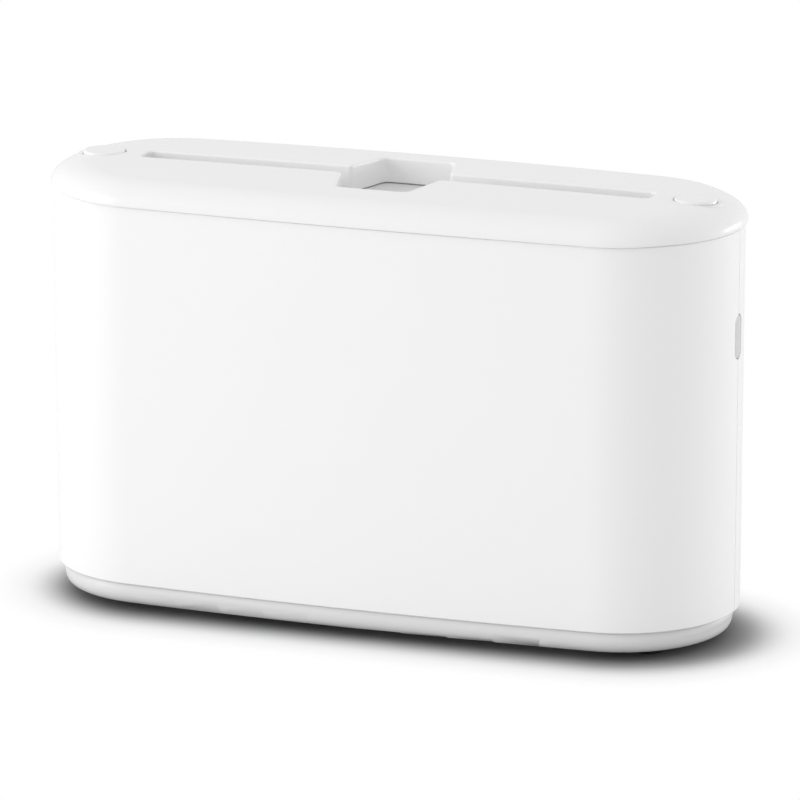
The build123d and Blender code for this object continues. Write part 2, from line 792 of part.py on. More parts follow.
# Return springs between the brackets and the button caps
button_spring_right = spring(
    button_x, lid_level, button_top - button_cap, button_spring_radius, button_spring_wire
)
button_spring_right.label = "button_spring_right"
export_step(button_spring_right, "parts/button_spring_right.step")

with BuildPart() as button_spring_left:
    mirror(button_spring_right, about=Plane.YZ)
button_spring_left.part.label = "button_spring_left"
export_step(button_spring_left.part, "parts/button_spring_left.step")
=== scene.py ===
import bmesh
import bpy
from math import acos, asin, atan2, cos, pi, radians, sin, tan
from mathutils import Matrix, Vector


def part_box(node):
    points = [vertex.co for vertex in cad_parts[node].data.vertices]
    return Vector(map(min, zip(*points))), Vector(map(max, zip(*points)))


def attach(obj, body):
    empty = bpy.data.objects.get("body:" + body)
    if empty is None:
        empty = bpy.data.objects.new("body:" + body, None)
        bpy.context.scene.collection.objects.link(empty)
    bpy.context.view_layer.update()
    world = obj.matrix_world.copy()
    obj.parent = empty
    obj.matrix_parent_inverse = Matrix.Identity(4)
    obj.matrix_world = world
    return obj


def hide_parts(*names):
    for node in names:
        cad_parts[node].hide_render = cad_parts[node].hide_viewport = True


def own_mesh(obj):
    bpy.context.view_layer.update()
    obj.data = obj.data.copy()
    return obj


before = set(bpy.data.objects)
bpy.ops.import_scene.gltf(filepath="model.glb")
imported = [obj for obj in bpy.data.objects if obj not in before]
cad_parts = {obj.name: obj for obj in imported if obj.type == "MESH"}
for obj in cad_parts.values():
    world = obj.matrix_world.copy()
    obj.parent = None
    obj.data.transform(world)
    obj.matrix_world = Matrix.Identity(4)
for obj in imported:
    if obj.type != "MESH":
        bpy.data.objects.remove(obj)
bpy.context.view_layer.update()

# Countertop dispenser for folded towels, in metres.
# X runs along the dispenser, Y from front to back and Z up from the counter.

# Boxes of the nodes that the visible pieces are fitted to
lid_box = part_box("lid_cover")
shell_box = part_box("front_shell")
base_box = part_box("base_tray")
button_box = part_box("button_right")
bracket_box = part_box("button_bracket_right")
window_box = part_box("window_right")
platform_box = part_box("platform_plate")
feet_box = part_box("rubber_feet")
platform_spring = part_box("platform_spring_right")
button_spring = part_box("button_spring_right")

# Plan outline of the lid: round ends joined by long sides with a slight bow
LID_LENGTH = lid_box[1].x - lid_box[0].x
LID_DEPTH = lid_box[1].y - lid_box[0].y
SIDE_BOW = 0.003
END_RADIUS = LID_DEPTH / 2 - SIDE_BOW
END_CENTRE = LID_LENGTH / 2 - END_RADIUS
BOW_RADIUS = (END_CENTRE**2 + (LID_DEPTH / 2) ** 2 - END_RADIUS**2) / (2 * SIDE_BOW)
BOW_CENTRE = BOW_RADIUS - LID_DEPTH / 2
TANGENT_ANGLE = atan2(BOW_CENTRE, END_CENTRE)
SIDE_RUN = BOW_RADIUS * (pi / 2 - TANGENT_ANGLE)
QUARTER_RUN = SIDE_RUN + END_RADIUS * TANGENT_ANGLE

# Levels of the mouldings
LIP_LEVEL = lid_box[0].z
RIDGE_LEVEL = lid_box[1].z - 0.0004
SHELL_LEVEL = shell_box[0].z
SHELL_TOP = shell_box[1].z
SEAM_GAP = 0.0003
LID_LEVEL = SHELL_TOP + SEAM_GAP

# Insets from the lid's edge, walls and eased edges
SHELL_INSET_LOW = 0.0015
SHELL_INSET_HIGH = 0.0010
SHELL_INSIDE = 0.0034
LIP_OUTSIDE = 0.0038
LIP_INSIDE = 0.0054
LID_WALL = 0.0024
THROAT_WALL = 0.0020
EASED_EDGE = 0.0004
BRACKET_EDGE = 0.0003
FITTING_EDGE = 0.0003
FINE_EDGE = 0.0002

# Crown of the lid, its shoulder, and the ceiling under it with the cove down to the lip
CROWN_RADIUS_ACROSS = 0.600
CROWN_RADIUS_ALONG = 10.9
SHOULDER_WIDTH = 0.013
SHOULDER_WIDTH_END = 0.024
SHOULDER_HEIGHT = 0.0096
THROAT_EDGE = 0.0011
CEILING_INSET = 0.016
COVE_INSETS_AND_DROPS = ((0.010, 0.0006), (0.007, 0.0014), (LIP_INSIDE, 0.0026))

# Hand opening and tear slot, as half sizes, and the platform's field in the same outline
HAND_END = 0.0165
HAND_WAIST = 0.025
HAND_DEPTH = 0.031
SLOT_REACH = 0.1203
SLOT_SIDE = 0.00625
HAND_CORNER = 0.0035
NOTCH_CORNER = 0.0022
SLOT_CORNER = 0.0035
FIELD_MARGIN = 0.0015
FIELD_HEIGHT = 0.0015

# Steps along a quarter of the opening, from the rear edge by way of the notch to the slot's tip
REAR_STEPS = 8
HAND_STEPS = 10
SLANT_STEPS = 12
NOTCH_STEPS = 8
SLOT_STEPS = 64
SLOT_CORNER_STEPS = 8
TIP_STEPS = 5

# Runs of the lid's outline that face the ends of those stretches
REAR_RUN = 0.016
HAND_RUN = 0.032
SLANT_RUN = 0.052
NOTCH_RUN = 0.060
SLOT_RUN = QUARTER_RUN - 0.012
SLOT_CORNER_RUN = QUARTER_RUN - 0.004

# Steps of the curved surfaces
SHOULDER_STEPS = 18
CROWN_STEPS = 22
EDGE_STEPS = 8
CEILING_STEPS = 8
SHELL_SIDE_STEPS = 40
SHELL_END_STEPS = 56
SHELL_HEIGHT_STEPS = 12
PILL_STEPS = 16
TONGUE_STEPS = 6
FINE_TURN_STEPS = 96
FOOT_TURN_STEPS = 48
COIL_TURN_STEPS = 36

# Buttons, with the cap's edge and dome, and the countersinks that they sit in
BUTTON_X = (button_box[0].x + button_box[1].x) / 2
BUTTON_SURFACE = RIDGE_LEVEL - BUTTON_X * BUTTON_X / (2 * CROWN_RADIUS_ALONG)
BUTTON_RADIUS = 0.0095
BUTTON_GAP = 0.0004
BUTTON_PROUD = 0.0007
BUTTON_EDGE = 0.0011
BUTTON_DOME = 0.00012
BUTTON_CAP = 0.002
BUTTON_SKIRT = 0.006
BUTTON_SKIRT_WALL = 0.0013
HOLE_RADIUS = BUTTON_RADIUS + BUTTON_GAP
SINK_DEPTH = 0.0005
SINK_LIP = 0.0001
SINK_WIDTH = 0.0003
SINK_FLARE = 0.0012
SINK_CLEARANCE = 0.0006

# Button stem: a post down to a crossbar, the neck that works the latch, and a foot under it
STEM_THICKNESS = 0.0032
POST_WIDTH = 0.010
POST_TOP = 0.0015
POST_OVERLAP = 0.0001
CROSSBAR_WIDTH = 0.013
CROSSBAR_DROP = 0.0024
CROSSBAR_HEIGHT = 0.0017
NECK_WIDTH = 0.0044
NECK_LENGTH = 0.0042
STEM_FOOT_WIDTH = 0.010
STEM_FOOT_TOP = 0.0040
STEM_FOOT_LOW = 0.0058

# Collars, bosses and ribs under the lid
COLLAR_WALL = 0.002
LID_BOSS_Y = 0.017
LID_BOSS_HALF = 0.003
RIB_PLACES = (0.0405, 0.0808)
RIB_HALF = 0.0008
RIB_LIFT = 0.003
RIB_DROP = 0.0022
RIB_END_ROOM = 0.004

# Screw bosses with their webs, latch catches and seam tongues inside the shells
BOSS_X = 0.088
BOSS_SETBACK = 0.012
BOSS_HALF = 0.004
BOSS_LOW = SHELL_LEVEL + 0.0084
BOSS_HIGH = SHELL_LEVEL + 0.0214
WEB_HALF = 0.001
WEB_SETBACK = 0.0030
WEB_BOW = 0.0023
CATCH_REACH = 0.0054
CATCH_LENGTH = 0.0062
CATCH_NEAR = 0.006
CATCH_FAR = 0.012
CATCH_LOW = 0.1721
CATCH_HIGH = 0.1751
TONGUE_LOW = SHELL_LEVEL + 0.0086
TONGUE_HIGH = SHELL_TOP - 0.006
TONGUE_WINDOW_ROOM = 0.0024
TONGUE_OUTER = SHELL_INSIDE + 0.0001
TONGUE_INNER = SHELL_INSIDE + 0.0015
TONGUE_HALF = 0.005

# Level windows: lens, and the flange behind the wall
WINDOW_WIDTH = 0.008
WINDOW_HEIGHT = 0.020
WINDOW_LEVEL = (window_box[0].z + window_box[1].z) / 2
WINDOW_GAP = 0.0003
WINDOW_SETBACK = 0.0003
WINDOW_RIM = 0.0005
FLANGE_GROWTH = 0.004
FLANGE_THICKNESS = 0.0018
FLANGE_OVERLAP = 0.0015
WINDOW_CUT_START = LID_LENGTH / 2 + 0.002
WINDOW_CUT_DEPTH = 0.012

# Coil springs, and the pitch of their closed end turns
LIFT_COIL = {"radius": 0.0106, "wire": 0.0016, "turns": 6}
RETURN_COIL = {"radius": 0.0063, "wire": 0.0009, "turns": 3}
CLOSED_TURN_PITCH = 1.05

# Rubber feet: place, radius, rolled edge, and the ring groove underneath
FOOT_X = 0.128
FOOT_Y = 0.024
FOOT_RADIUS = 0.008
FOOT_EDGE = 0.0009
FOOT_EDGE_STEP = 0.0003
GROOVE_OUTER = 0.0052
GROOVE_OUTER_FLOOR = 0.0048
GROOVE_INNER_FLOOR = 0.0036
GROOVE_INNER = 0.0032
GROOVE_DEPTH = 0.0006

# How far the base draws in at its ends: at its top edge, and what comes on top half way down
BASE_DRAW_IN = 0.0009
BASE_UNDERCUT = 0.0018

# Distances within which vertices are joined
WELD = 1e-6
FINE_WELD = 1e-7

# Camera fitted to the photograph's outlines
PHOTO_SIDE = 800
FOCAL_PIXELS = 7053.0
SENSOR_WIDTH = 36.0
CAMERA_AZIMUTH = 0.3567
CAMERA_ELEVATION = 0.2553
CAMERA_DISTANCE = 3.1547
CAMERA_TARGET = Vector((0.00205, 0.0, 0.09646))
LAMP_TARGET = (0.0, 0.0, 0.10)

# White floor: how far the shadow lies to the right, and where it fades, from inside the round ends
# outwards. The first pair is the whole shadow, the second its dark part by the base, which is painted
# shade.
FLOOR_SIZE = 14.0
SHADOW_SHIFT = 0.004
FLOOR_SHADOW_START = 0.002
FLOOR_SHADOW_REACH = 0.036
PAINTED_SHADOW_START = 0.010
PAINTED_SHADOW_REACH = 0.020


def plan_point(run, inset, parting=0.0):
    """Point of the plan outline, a run from the rear middle towards the right end, drawn in by inset."""
    if run < SIDE_RUN:
        angle = run / BOW_RADIUS
        radius = BOW_RADIUS - inset
        return radius * sin(angle), radius * cos(angle) - BOW_CENTRE
    radius = END_RADIUS - inset
    last = asin(parting / 2 / radius)
    share = (run - SIDE_RUN) / (QUARTER_RUN - SIDE_RUN)
    angle = TANGENT_ANGLE + (last - TANGENT_ANGLE) * share
    return END_CENTRE + radius * cos(angle), radius * sin(angle)


def rounded_corner(before, corner, after, radius, steps):
    """Points of the arc that rounds one corner of an outline."""
    corner = Vector(corner)
    into = (corner - Vector(before)).normalized()
    out = (Vector(after) - corner).normalized()
    turn = acos(max(-1.0, min(1.0, into.dot(out))))
    reach = radius * tan(turn / 2)
    start, end = corner - into * reach, corner + out * reach
    inward = Vector((-into.y, into.x))
    if inward.dot(out) < 0:
        inward = -inward
    centre = start + inward * radius
    first, last = start - centre, end - centre
    points = []
    for step in range(steps + 1):
        share = step / steps
        blend = first * sin((1 - share) * turn) + last * sin(share * turn)
        points.append(centre + blend / sin(turn))
    return points


def spaced(start, end, steps):
    """Points between two ends, without the ends."""
    return [Vector(start).lerp(Vector(end), step / steps) for step in range(1, steps)]


def opening_outline(growth):
    """Quarter outline of the opening and slot, from the rear middle to the right, grown into the lid."""
    lean = atan2(HAND_WAIST - HAND_END, HAND_DEPTH)
    slant = growth / cos(lean)

    def slanted(level):
        return HAND_WAIST + slant - (HAND_WAIST - HAND_END) * level / HAND_DEPTH

    top = HAND_DEPTH + growth
    side = SLOT_SIDE + growth
    reach = SLOT_REACH + growth
    rear = (0.0, top)
    hand = (slanted(top), top)
    notch = (slanted(side), side)
    end = (reach, side)
    tip = (reach, 0.0)
    hand_arc = rounded_corner(rear, hand, notch, HAND_CORNER + growth, HAND_STEPS)
    notch_arc = rounded_corner(hand, notch, end, NOTCH_CORNER - growth, NOTCH_STEPS)
    slot_arc = rounded_corner(notch, end, tip, SLOT_CORNER + growth, SLOT_CORNER_STEPS)
    points = [Vector(rear)] + spaced(rear, hand_arc[0], REAR_STEPS) + hand_arc
    points += spaced(hand_arc[-1], notch_arc[0], SLANT_STEPS) + notch_arc
    points += spaced(notch_arc[-1], slot_arc[0], SLOT_STEPS) + slot_arc
    points += spaced(slot_arc[-1], tip, TIP_STEPS) + [Vector(tip)]
    return points


def matched_runs():
    """Runs along the plan outline that face the points of the opening's outline."""
    parts = [
        (REAR_STEPS, REAR_RUN),
        (HAND_STEPS, HAND_RUN),
        (SLANT_STEPS, SLANT_RUN),
        (NOTCH_STEPS, NOTCH_RUN),
        (SLOT_STEPS, SLOT_RUN),
        (SLOT_CORNER_STEPS, SLOT_CORNER_RUN),
        (TIP_STEPS, QUARTER_RUN),
    ]
    runs = [0.0]
    for steps, end in parts:
        start = runs[-1]
        runs += [start + (end - start) * step / steps for step in range(1, steps + 1)]
    return runs


def shoulder_width(run):
    """How far the rolled shoulder reaches in: further at the ends than along the sides."""
    share = max(0.0, (run - SIDE_RUN) / (QUARTER_RUN - SIDE_RUN))
    return SHOULDER_WIDTH + (SHOULDER_WIDTH_END - SHOULDER_WIDTH) * sin(pi / 2 * share) ** 2


def crown_level(x, y):
    """Height of the lid's crowned top."""
    return RIDGE_LEVEL - y * y / (2 * CROWN_RADIUS_ACROSS) - x * x / (2 * CROWN_RADIUS_ALONG)


def at_level(points, level):
    """Ring through plan points, all at one level."""
    return [(x, y, level) for x, y in points]


def below_crown(points, drop):
    """Ring through plan points, a drop below the crowned top."""
    return [(x, y, crown_level(x, y) - drop) for x, y in points]


def weld(bm, distance=WELD):
    """Joins the vertices that lie together."""
    bmesh.ops.remove_doubles(bm, verts=bm.verts, dist=distance)


def skin(bm, rings, closed=False):
    """Surface through matched rings: a chain of edges, extruded from one ring to the next."""
    verts = [bm.verts.new(place) for place in rings[0]]
    edges = [bm.edges.new(pair) for pair in zip(verts, verts[1:])]
    following = rings[1:] + rings[:1] if closed else rings[1:]
    for ring in following:
        made = bmesh.ops.extrude_edge_only(bm, edges=edges)["geom"]
        fresh = {item for item in made if isinstance(item, bmesh.types.BMVert)}
        verts = [next(e.other_vert(v) for e in v.link_edges if e.other_vert(v) in fresh) for v in verts]
        edges = [bm.edges.get(pair) for pair in zip(verts, verts[1:])]
        for vert, place in zip(verts, ring):
            vert.co = place


def mirror_about(bm, axis):
    """Adds the mirror image about a middle plane and joins it."""
    geometry = bm.verts[:] + bm.edges[:] + bm.faces[:]
    bmesh.ops.mirror(bm, geom=geometry, axis=axis, merge_dist=WELD)
    weld(bm)


def flip(bm, end):
    """Turns a shape made for the right end into one for the left end, where end is -1."""
    bmesh.ops.scale(bm, verts=bm.verts, vec=(end, 1.0, 1.0))


def close_ends(bm):
    """Fills the open ends of a surface."""
    bmesh.ops.holes_fill(bm, edges=[e for e in bm.edges if e.is_boundary], sides=0)


def block(bm, low, high, edge=0.0):
    """Box between two corners, with its edges eased where an edge is given."""
    low, high = Vector(low), Vector(high)
    made = bmesh.ops.create_cube(bm, size=1.0)["verts"]
    bmesh.ops.scale(bm, verts=made, vec=high - low)
    bmesh.ops.translate(bm, verts=made, vec=(low + high) / 2)
    if edge:
        edges = list({e for v in made for e in v.link_edges})
        bmesh.ops.bevel(
            bm, geom=edges, offset=edge, affect="EDGES", segments=2, profile=0.5, material=-1
        )


def post(bm, x, y, half_x, half_y, low, high, edge=0.0):
    """Upright box about a point of the plan."""
    block(bm, (x - half_x, y - half_y, low), (x + half_x, y + half_y, high), edge)


def turned(bm, outline, x, y=0.0, steps=72):
    """Round piece: an outline of (radius, level) points turned about an upright axis."""
    verts = [bm.verts.new((x + radius, y, level)) for radius, level in outline]
    edges = [bm.edges.new(pair) for pair in zip(verts, verts[1:])]
    bmesh.ops.spin(
        bm,
        geom=verts + edges,
        cent=(x, y, 0.0),
        axis=(0.0, 0.0, 1.0),
        angle=2 * pi,
        steps=steps,
        use_merge=True,
    )


def pill(bm, x, width, height, level, depth, edge=0.0):
    """Round-ended upright plate that faces +X, its face at x."""
    radius = width / 2
    verts = []
    for end in (1, -1):
        for step in range(PILL_STEPS + 1):
            angle = pi * step / PILL_STEPS
            y = radius * cos(angle) * end
            z = (height / 2 - radius + radius * sin(angle)) * end
            verts.append(bm.verts.new((x, y, level + z)))
    face = bm.faces.new(verts)
    made = bmesh.ops.extrude_face_region(bm, geom=[face])["geom"]
    back = [item for item in made if isinstance(item, bmesh.types.BMVert)]
    bmesh.ops.translate(bm, verts=back, vec=(-depth, 0.0, 0.0))
    if edge:
        rim = [bm.edges.get((a, b)) for a, b in zip(verts, verts[1:] + verts[:1])]
        bmesh.ops.bevel(
            bm, geom=rim, offset=edge, affect="EDGES", segments=4, profile=0.5, material=-1
        )


def linked(name, bm):
    """Object made from a bmesh, in the scene."""
    mesh = bpy.data.meshes.new(name)
    bm.to_mesh(mesh)
    bm.free()
    obj = bpy.data.objects.new(name, mesh)
    bpy.context.scene.collection.objects.link(obj)
    return obj


def finish(obj, sharp):
    """Smooth shading that breaks at sharp edges."""
    obj.data.shade_smooth()
    obj.data.set_sharp_from_angle(angle=radians(sharp))


def piece(name, bm, body, material, nodes=(), sharp=30.0, recalculated=True):
    """Object made from a bmesh, riding on a body, with its finish and the nodes that it stands for."""
    weld(bm)
    if recalculated:
        bmesh.ops.recalc_face_normals(bm, faces=bm.faces)
    obj = linked(name, bm)
    finish(obj, sharp)
    obj.data.materials.append(material)
    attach(obj, body)
    if nodes:
        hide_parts(*nodes)
    return obj


def cutting_solid(bm):
    """Solid used only to cut a piece."""
    weld(bm)
    bmesh.ops.recalc_face_normals(bm, faces=bm.faces)
    return linked("cutter", bm)


def cut(obj, tools, sharp):
    """Cuts other solids out of a piece, and removes them."""
    for tool in tools:
        cutting = obj.modifiers.new("cut", "BOOLEAN")
        cutting.operation = "DIFFERENCE"
        cutting.solver = "EXACT"
        cutting.object = tool
    bpy.context.view_layer.update()
    evaluated = obj.evaluated_get(bpy.context.evaluated_depsgraph_get())
    result = bpy.data.meshes.new_from_object(evaluated)
    obj.modifiers.clear()
    obj.data = result
    for tool in tools:
        bpy.data.objects.remove(tool)
    finish(obj, sharp)


def eased(obj, width):
    """Small rounded edges on a piece."""
    bevel = obj.modifiers.new("eased_edges", "BEVEL")
    bevel.width = width
    bevel.segments = 2
    bevel.limit_method = "ANGLE"
    bevel.angle_limit = radians(40.0)
    bevel.harden_normals = True


def carried_over(name, node, body, material, edge):
    """Piece with a node's own shape, its edges eased where an edge is given."""
    bm = bmesh.new()
    bm.from_mesh(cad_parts[node].data)
    weld(bm)
    made = piece(name, bm, body, material, nodes=[node], recalculated=False)
    if edge:
        eased(made, edge)
    return made


def plastic(name, colour, roughness, mottle, grain, grain_scale, bump):
    """Moulded plastic: faint cloudy tone, surface grain, and roughness that varies with the cloud."""
    material = bpy.data.materials.new(name)
    material.use_nodes = True
    nodes, links = material.node_tree.nodes, material.node_tree.links
    shader = nodes["Principled BSDF"]
    place = nodes.new("ShaderNodeTexCoord")
    cloud = nodes.new("ShaderNodeTexNoise")
    cloud.inputs["Scale"].default_value = 14.0
    cloud.inputs["Detail"].default_value = 4.0
    tone = nodes.new("ShaderNodeMix")
    tone.data_type = "RGBA"
    tone.inputs["A"].default_value = (*colour, 1.0)
    tone.inputs["B"].default_value = (*[part * (1.0 - mottle) for part in colour], 1.0)
    gloss = nodes.new("ShaderNodeMapRange")
    gloss.inputs["From Min"].default_value = 0.3
    gloss.inputs["From Max"].default_value = 0.7
    gloss.inputs["To Min"].default_value = roughness * 0.9
    gloss.inputs["To Max"].default_value = roughness * 1.15
    fine = nodes.new("ShaderNodeTexNoise")
    fine.inputs["Scale"].default_value = grain_scale
    fine.inputs["Detail"].default_value = 3.0
    fine.inputs["Roughness"].default_value = 0.6
    relief = nodes.new("ShaderNodeBump")
    relief.inputs["Strength"].default_value = grain
    relief.inputs["Distance"].default_value = bump
    links.new(place.outputs["Object"], cloud.inputs["Vector"])
    links.new(place.outputs["Object"], fine.inputs["Vector"])
    links.new(cloud.outputs["Fac"], tone.inputs["Factor"])
    links.new(cloud.outputs["Fac"], gloss.inputs["Value"])
    links.new(tone.outputs["Result"], shader.inputs["Base Color"])
    links.new(gloss.outputs["Result"], shader.inputs["Roughness"])
    links.new(fine.outputs["Fac"], relief.inputs["Height"])
    links.new(relief.outputs["Normal"], shader.inputs["Normal"])
    shader.inputs["IOR"].default_value = 1.5
    return material


def metal(name, colour, roughness, grain_scale):
    """Drawn or plated steel with a fine grain."""
    material = plastic(
        name, colour, roughness, mottle=0.18, grain=0.25, grain_scale=grain_scale, bump=0.00005
    )
    material.node_tree.nodes["Principled BSDF"].inputs["Metallic"].default_value = 1.0
    return material


def rubber(name, colour):
    """Dull moulded rubber with a fine pitted surface."""
    material = plastic(
        name, colour, roughness=0.75, mottle=0.25, grain=0.6, grain_scale=2600.0, bump=0.0001
    )
    material.node_tree.nodes["Principled BSDF"].inputs["Specular IOR Level"].default_value = 0.35
    return material


shell_white = plastic(
    "shell_white", (0.90, 0.90, 0.90),
    roughness=0.22, mottle=0.012, grain=0.05, grain_scale=900.0, bump=0.00004,
)
lid_white = plastic(
    "lid_white", (0.88, 0.88, 0.88),
    roughness=0.20, mottle=0.012, grain=0.05, grain_scale=900.0, bump=0.00004,
)
button_white = plastic(
    "button_white", (0.88, 0.88, 0.88),
    roughness=0.22, mottle=0.015, grain=0.05, grain_scale=1200.0, bump=0.00004,
)
base_grey = plastic(
    "base_grey", (0.74, 0.74, 0.74),
    roughness=0.42, mottle=0.03, grain=0.25, grain_scale=2200.0, bump=0.00006,
)
platform_grey = plastic(
    "platform_grey", (0.72, 0.72, 0.725),
    roughness=0.48, mottle=0.05, grain=0.3, grain_scale=2000.0, bump=0.00008,
)
guide_grey = plastic(
    "guide_grey", (0.50, 0.505, 0.51),
    roughness=0.45, mottle=0.06, grain=0.25, grain_scale=1800.0, bump=0.00008,
)
shoe_white = plastic(
    "shoe_white", (0.80, 0.79, 0.75),
    roughness=0.38, mottle=0.04, grain=0.15, grain_scale=1600.0, bump=0.00005,
)
window_grey = plastic(
    "window_grey", (0.62, 0.62, 0.63),
    roughness=0.12, mottle=0.03, grain=0.04, grain_scale=1500.0, bump=0.00003,
)
foot_rubber = rubber("foot_rubber", (0.035, 0.035, 0.036))
spring_steel = metal("spring_steel", (0.60, 0.60, 0.61), roughness=0.28, grain_scale=3000.0)
screw_steel = metal("screw_steel", (0.66, 0.66, 0.64), roughness=0.35, grain_scale=2400.0)


def lid_rings():
    """Matched rings of the lid: rim, shoulder, crown, throat, ceiling and locating lip."""
    runs = matched_runs()

    def edge(inset):
        return [plan_point(run, inset) for run in runs]

    rings = [at_level(edge(EASED_EDGE), LID_LEVEL), at_level(edge(0.0), LID_LEVEL + EASED_EDGE)]
    for step in range(SHOULDER_STEPS + 1):
        angle = pi / 2 * step / SHOULDER_STEPS
        points = [plan_point(run, shoulder_width(run) * (1 - cos(angle))) for run in runs]
        rings.append(below_crown(points, SHOULDER_HEIGHT * (1 - sin(angle))))
    outer = [Vector(plan_point(run, shoulder_width(run))) for run in runs]
    inner = opening_outline(THROAT_EDGE)
    for step in range(1, CROWN_STEPS):
        rings.append(below_crown([a.lerp(b, step / CROWN_STEPS) for a, b in zip(outer, inner)], 0.0))
    for step in range(EDGE_STEPS + 1):
        angle = pi / 2 * step / EDGE_STEPS
        points = opening_outline(THROAT_EDGE * (1 - sin(angle)))
        rings.append(below_crown(points, THROAT_EDGE * (1 - cos(angle))))
    throat_wall = opening_outline(THROAT_WALL)
    rings += [
        at_level(opening_outline(0.0), LID_LEVEL + EASED_EDGE),
        at_level(opening_outline(EASED_EDGE), LID_LEVEL),
        at_level(throat_wall, LID_LEVEL),
        below_crown(throat_wall, LID_WALL),
    ]
    ceiling = [Vector(point) for point in edge(CEILING_INSET)]
    for step in range(1, CEILING_STEPS + 1):
        points = [b.lerp(a, step / CEILING_STEPS) for a, b in zip(ceiling, throat_wall)]
        rings.append(below_crown(points, LID_WALL))
    rings += [below_crown(edge(inset), LID_WALL + drop) for inset, drop in COVE_INSETS_AND_DROPS]
    rings += [
        at_level(edge(LIP_INSIDE), LIP_LEVEL + EASED_EDGE),
        at_level(edge(LIP_INSIDE - EASED_EDGE), LIP_LEVEL),
        at_level(edge(LIP_OUTSIDE + EASED_EDGE), LIP_LEVEL),
        at_level(edge(LIP_OUTSIDE), LIP_LEVEL + EASED_EDGE),
        at_level(edge(LIP_OUTSIDE), LID_LEVEL),
    ]
    return rings


def button_hole(end):
    """Cutting solid for a button's hole, with a small countersink."""
    bm = bmesh.new()
    outline = [
        (0.0, LIP_LEVEL),
        (HOLE_RADIUS, LIP_LEVEL),
        (HOLE_RADIUS, BUTTON_SURFACE - SINK_DEPTH),
        (HOLE_RADIUS + SINK_WIDTH, BUTTON_SURFACE - SINK_LIP),
        (HOLE_RADIUS + SINK_FLARE, BUTTON_SURFACE + SINK_CLEARANCE),
        (0.0, BUTTON_SURFACE + SINK_CLEARANCE),
    ]
    turned(bm, outline, BUTTON_X, steps=FINE_TURN_STEPS)
    flip(bm, end)
    return cutting_solid(bm)


def make_lid():
    """Lid cover, with its throat, lip and button holes."""
    bm = bmesh.new()
    skin(bm, lid_rings(), closed=True)
    mirror_about(bm, "X")
    mirror_about(bm, "Y")
    lid = piece("lid_skin", bm, "lid", lid_white, nodes=["lid_cover"], sharp=40.0)
    cut(lid, [button_hole(end) for end in (1, -1)], sharp=32.0)


def make_lid_inside():
    """Ribs, button collars and screw bosses under the lid."""
    bm = bmesh.new()
    collar_top = BUTTON_SURFACE - LID_WALL / 2
    collar = [
        (HOLE_RADIUS, LID_LEVEL),
        (HOLE_RADIUS + COLLAR_WALL, LID_LEVEL),
        (HOLE_RADIUS + COLLAR_WALL, collar_top),
        (HOLE_RADIUS, collar_top),
        (HOLE_RADIUS, LID_LEVEL),
    ]
    ribs_low = LID_LEVEL + RIB_LIFT
    ribs_high = RIDGE_LEVEL - LID_WALL - RIB_DROP
    throat_side = SLOT_SIDE + THROAT_WALL - EASED_EDGE
    rib_end = LID_DEPTH / 2 - LIP_INSIDE - RIB_END_ROOM
    for end in (1, -1):
        turned(bm, collar, end * BUTTON_X)
        for front in (1, -1):
            boss = (end * BUTTON_X, front * LID_BOSS_Y)
            post(bm, *boss, LID_BOSS_HALF, LID_BOSS_HALF, LID_LEVEL, collar_top)
            near, far = sorted((front * throat_side, front * rib_end))
            for rib_x in RIB_PLACES:
                low = (end * rib_x - RIB_HALF, near, ribs_low)
                high = (end * rib_x + RIB_HALF, far, ribs_high)
                block(bm, low, high)
    piece("lid_ribs_and_collars", bm, "lid", lid_white)


def shell_rings(parting):
    """Matched rings of a shell's tapered wall: outside, top edge, inside and bottom edge."""
    end_run = QUARTER_RUN - SIDE_RUN
    runs = [SIDE_RUN * step / SHELL_SIDE_STEPS for step in range(SHELL_SIDE_STEPS)]
    runs += [SIDE_RUN + end_run * step / SHELL_END_STEPS for step in range(SHELL_END_STEPS + 1)]
    outline = [
        (SHELL_INSET_LOW + EASED_EDGE, SHELL_LEVEL),
        (SHELL_INSET_LOW, SHELL_LEVEL + EASED_EDGE),
    ]
    for step in range(1, SHELL_HEIGHT_STEPS):
        share = step / SHELL_HEIGHT_STEPS
        inset = SHELL_INSET_LOW + (SHELL_INSET_HIGH - SHELL_INSET_LOW) * share
        outline.append((inset, SHELL_LEVEL + (SHELL_TOP - SHELL_LEVEL) * share))
    outline += [
        (SHELL_INSET_HIGH, SHELL_TOP - EASED_EDGE),
        (SHELL_INSET_HIGH + EASED_EDGE, SHELL_TOP),
        (SHELL_INSIDE - EASED_EDGE, SHELL_TOP),
        (SHELL_INSIDE, SHELL_TOP - EASED_EDGE),
        (SHELL_INSIDE, SHELL_LEVEL + EASED_EDGE),
        (SHELL_INSIDE - EASED_EDGE, SHELL_LEVEL),
    ]
    rings = []
    for inset, level in outline:
        rings.append(at_level([plan_point(run, inset, parting) for run in runs], level))
    return rings


def window_hole(end):
    """Cutting solid for a level window, with a gap all round."""
    bm = bmesh.new()
    width = WINDOW_WIDTH + 2 * WINDOW_GAP
    height = WINDOW_HEIGHT + 2 * WINDOW_GAP
    pill(bm, WINDOW_CUT_START, width, height, WINDOW_LEVEL, WINDOW_CUT_DEPTH)
    flip(bm, end)
    return cutting_solid(bm)


def make_shell(name, node, side):
    """Front or rear shell: half of the tapered wall, its end seams closed and the windows cut out."""
    bm = bmesh.new()
    skin(bm, shell_rings(SEAM_GAP), closed=True)
    weld(bm, FINE_WELD)
    mirror_about(bm, "X")
    close_ends(bm)
    if side < 0:
        bmesh.ops.scale(bm, verts=bm.verts, vec=(1.0, -1.0, 1.0))
    shell = piece(name, bm, "casing", shell_white, nodes=[node])
    cut(shell, [window_hole(end) for end in (1, -1)], sharp=30.0)


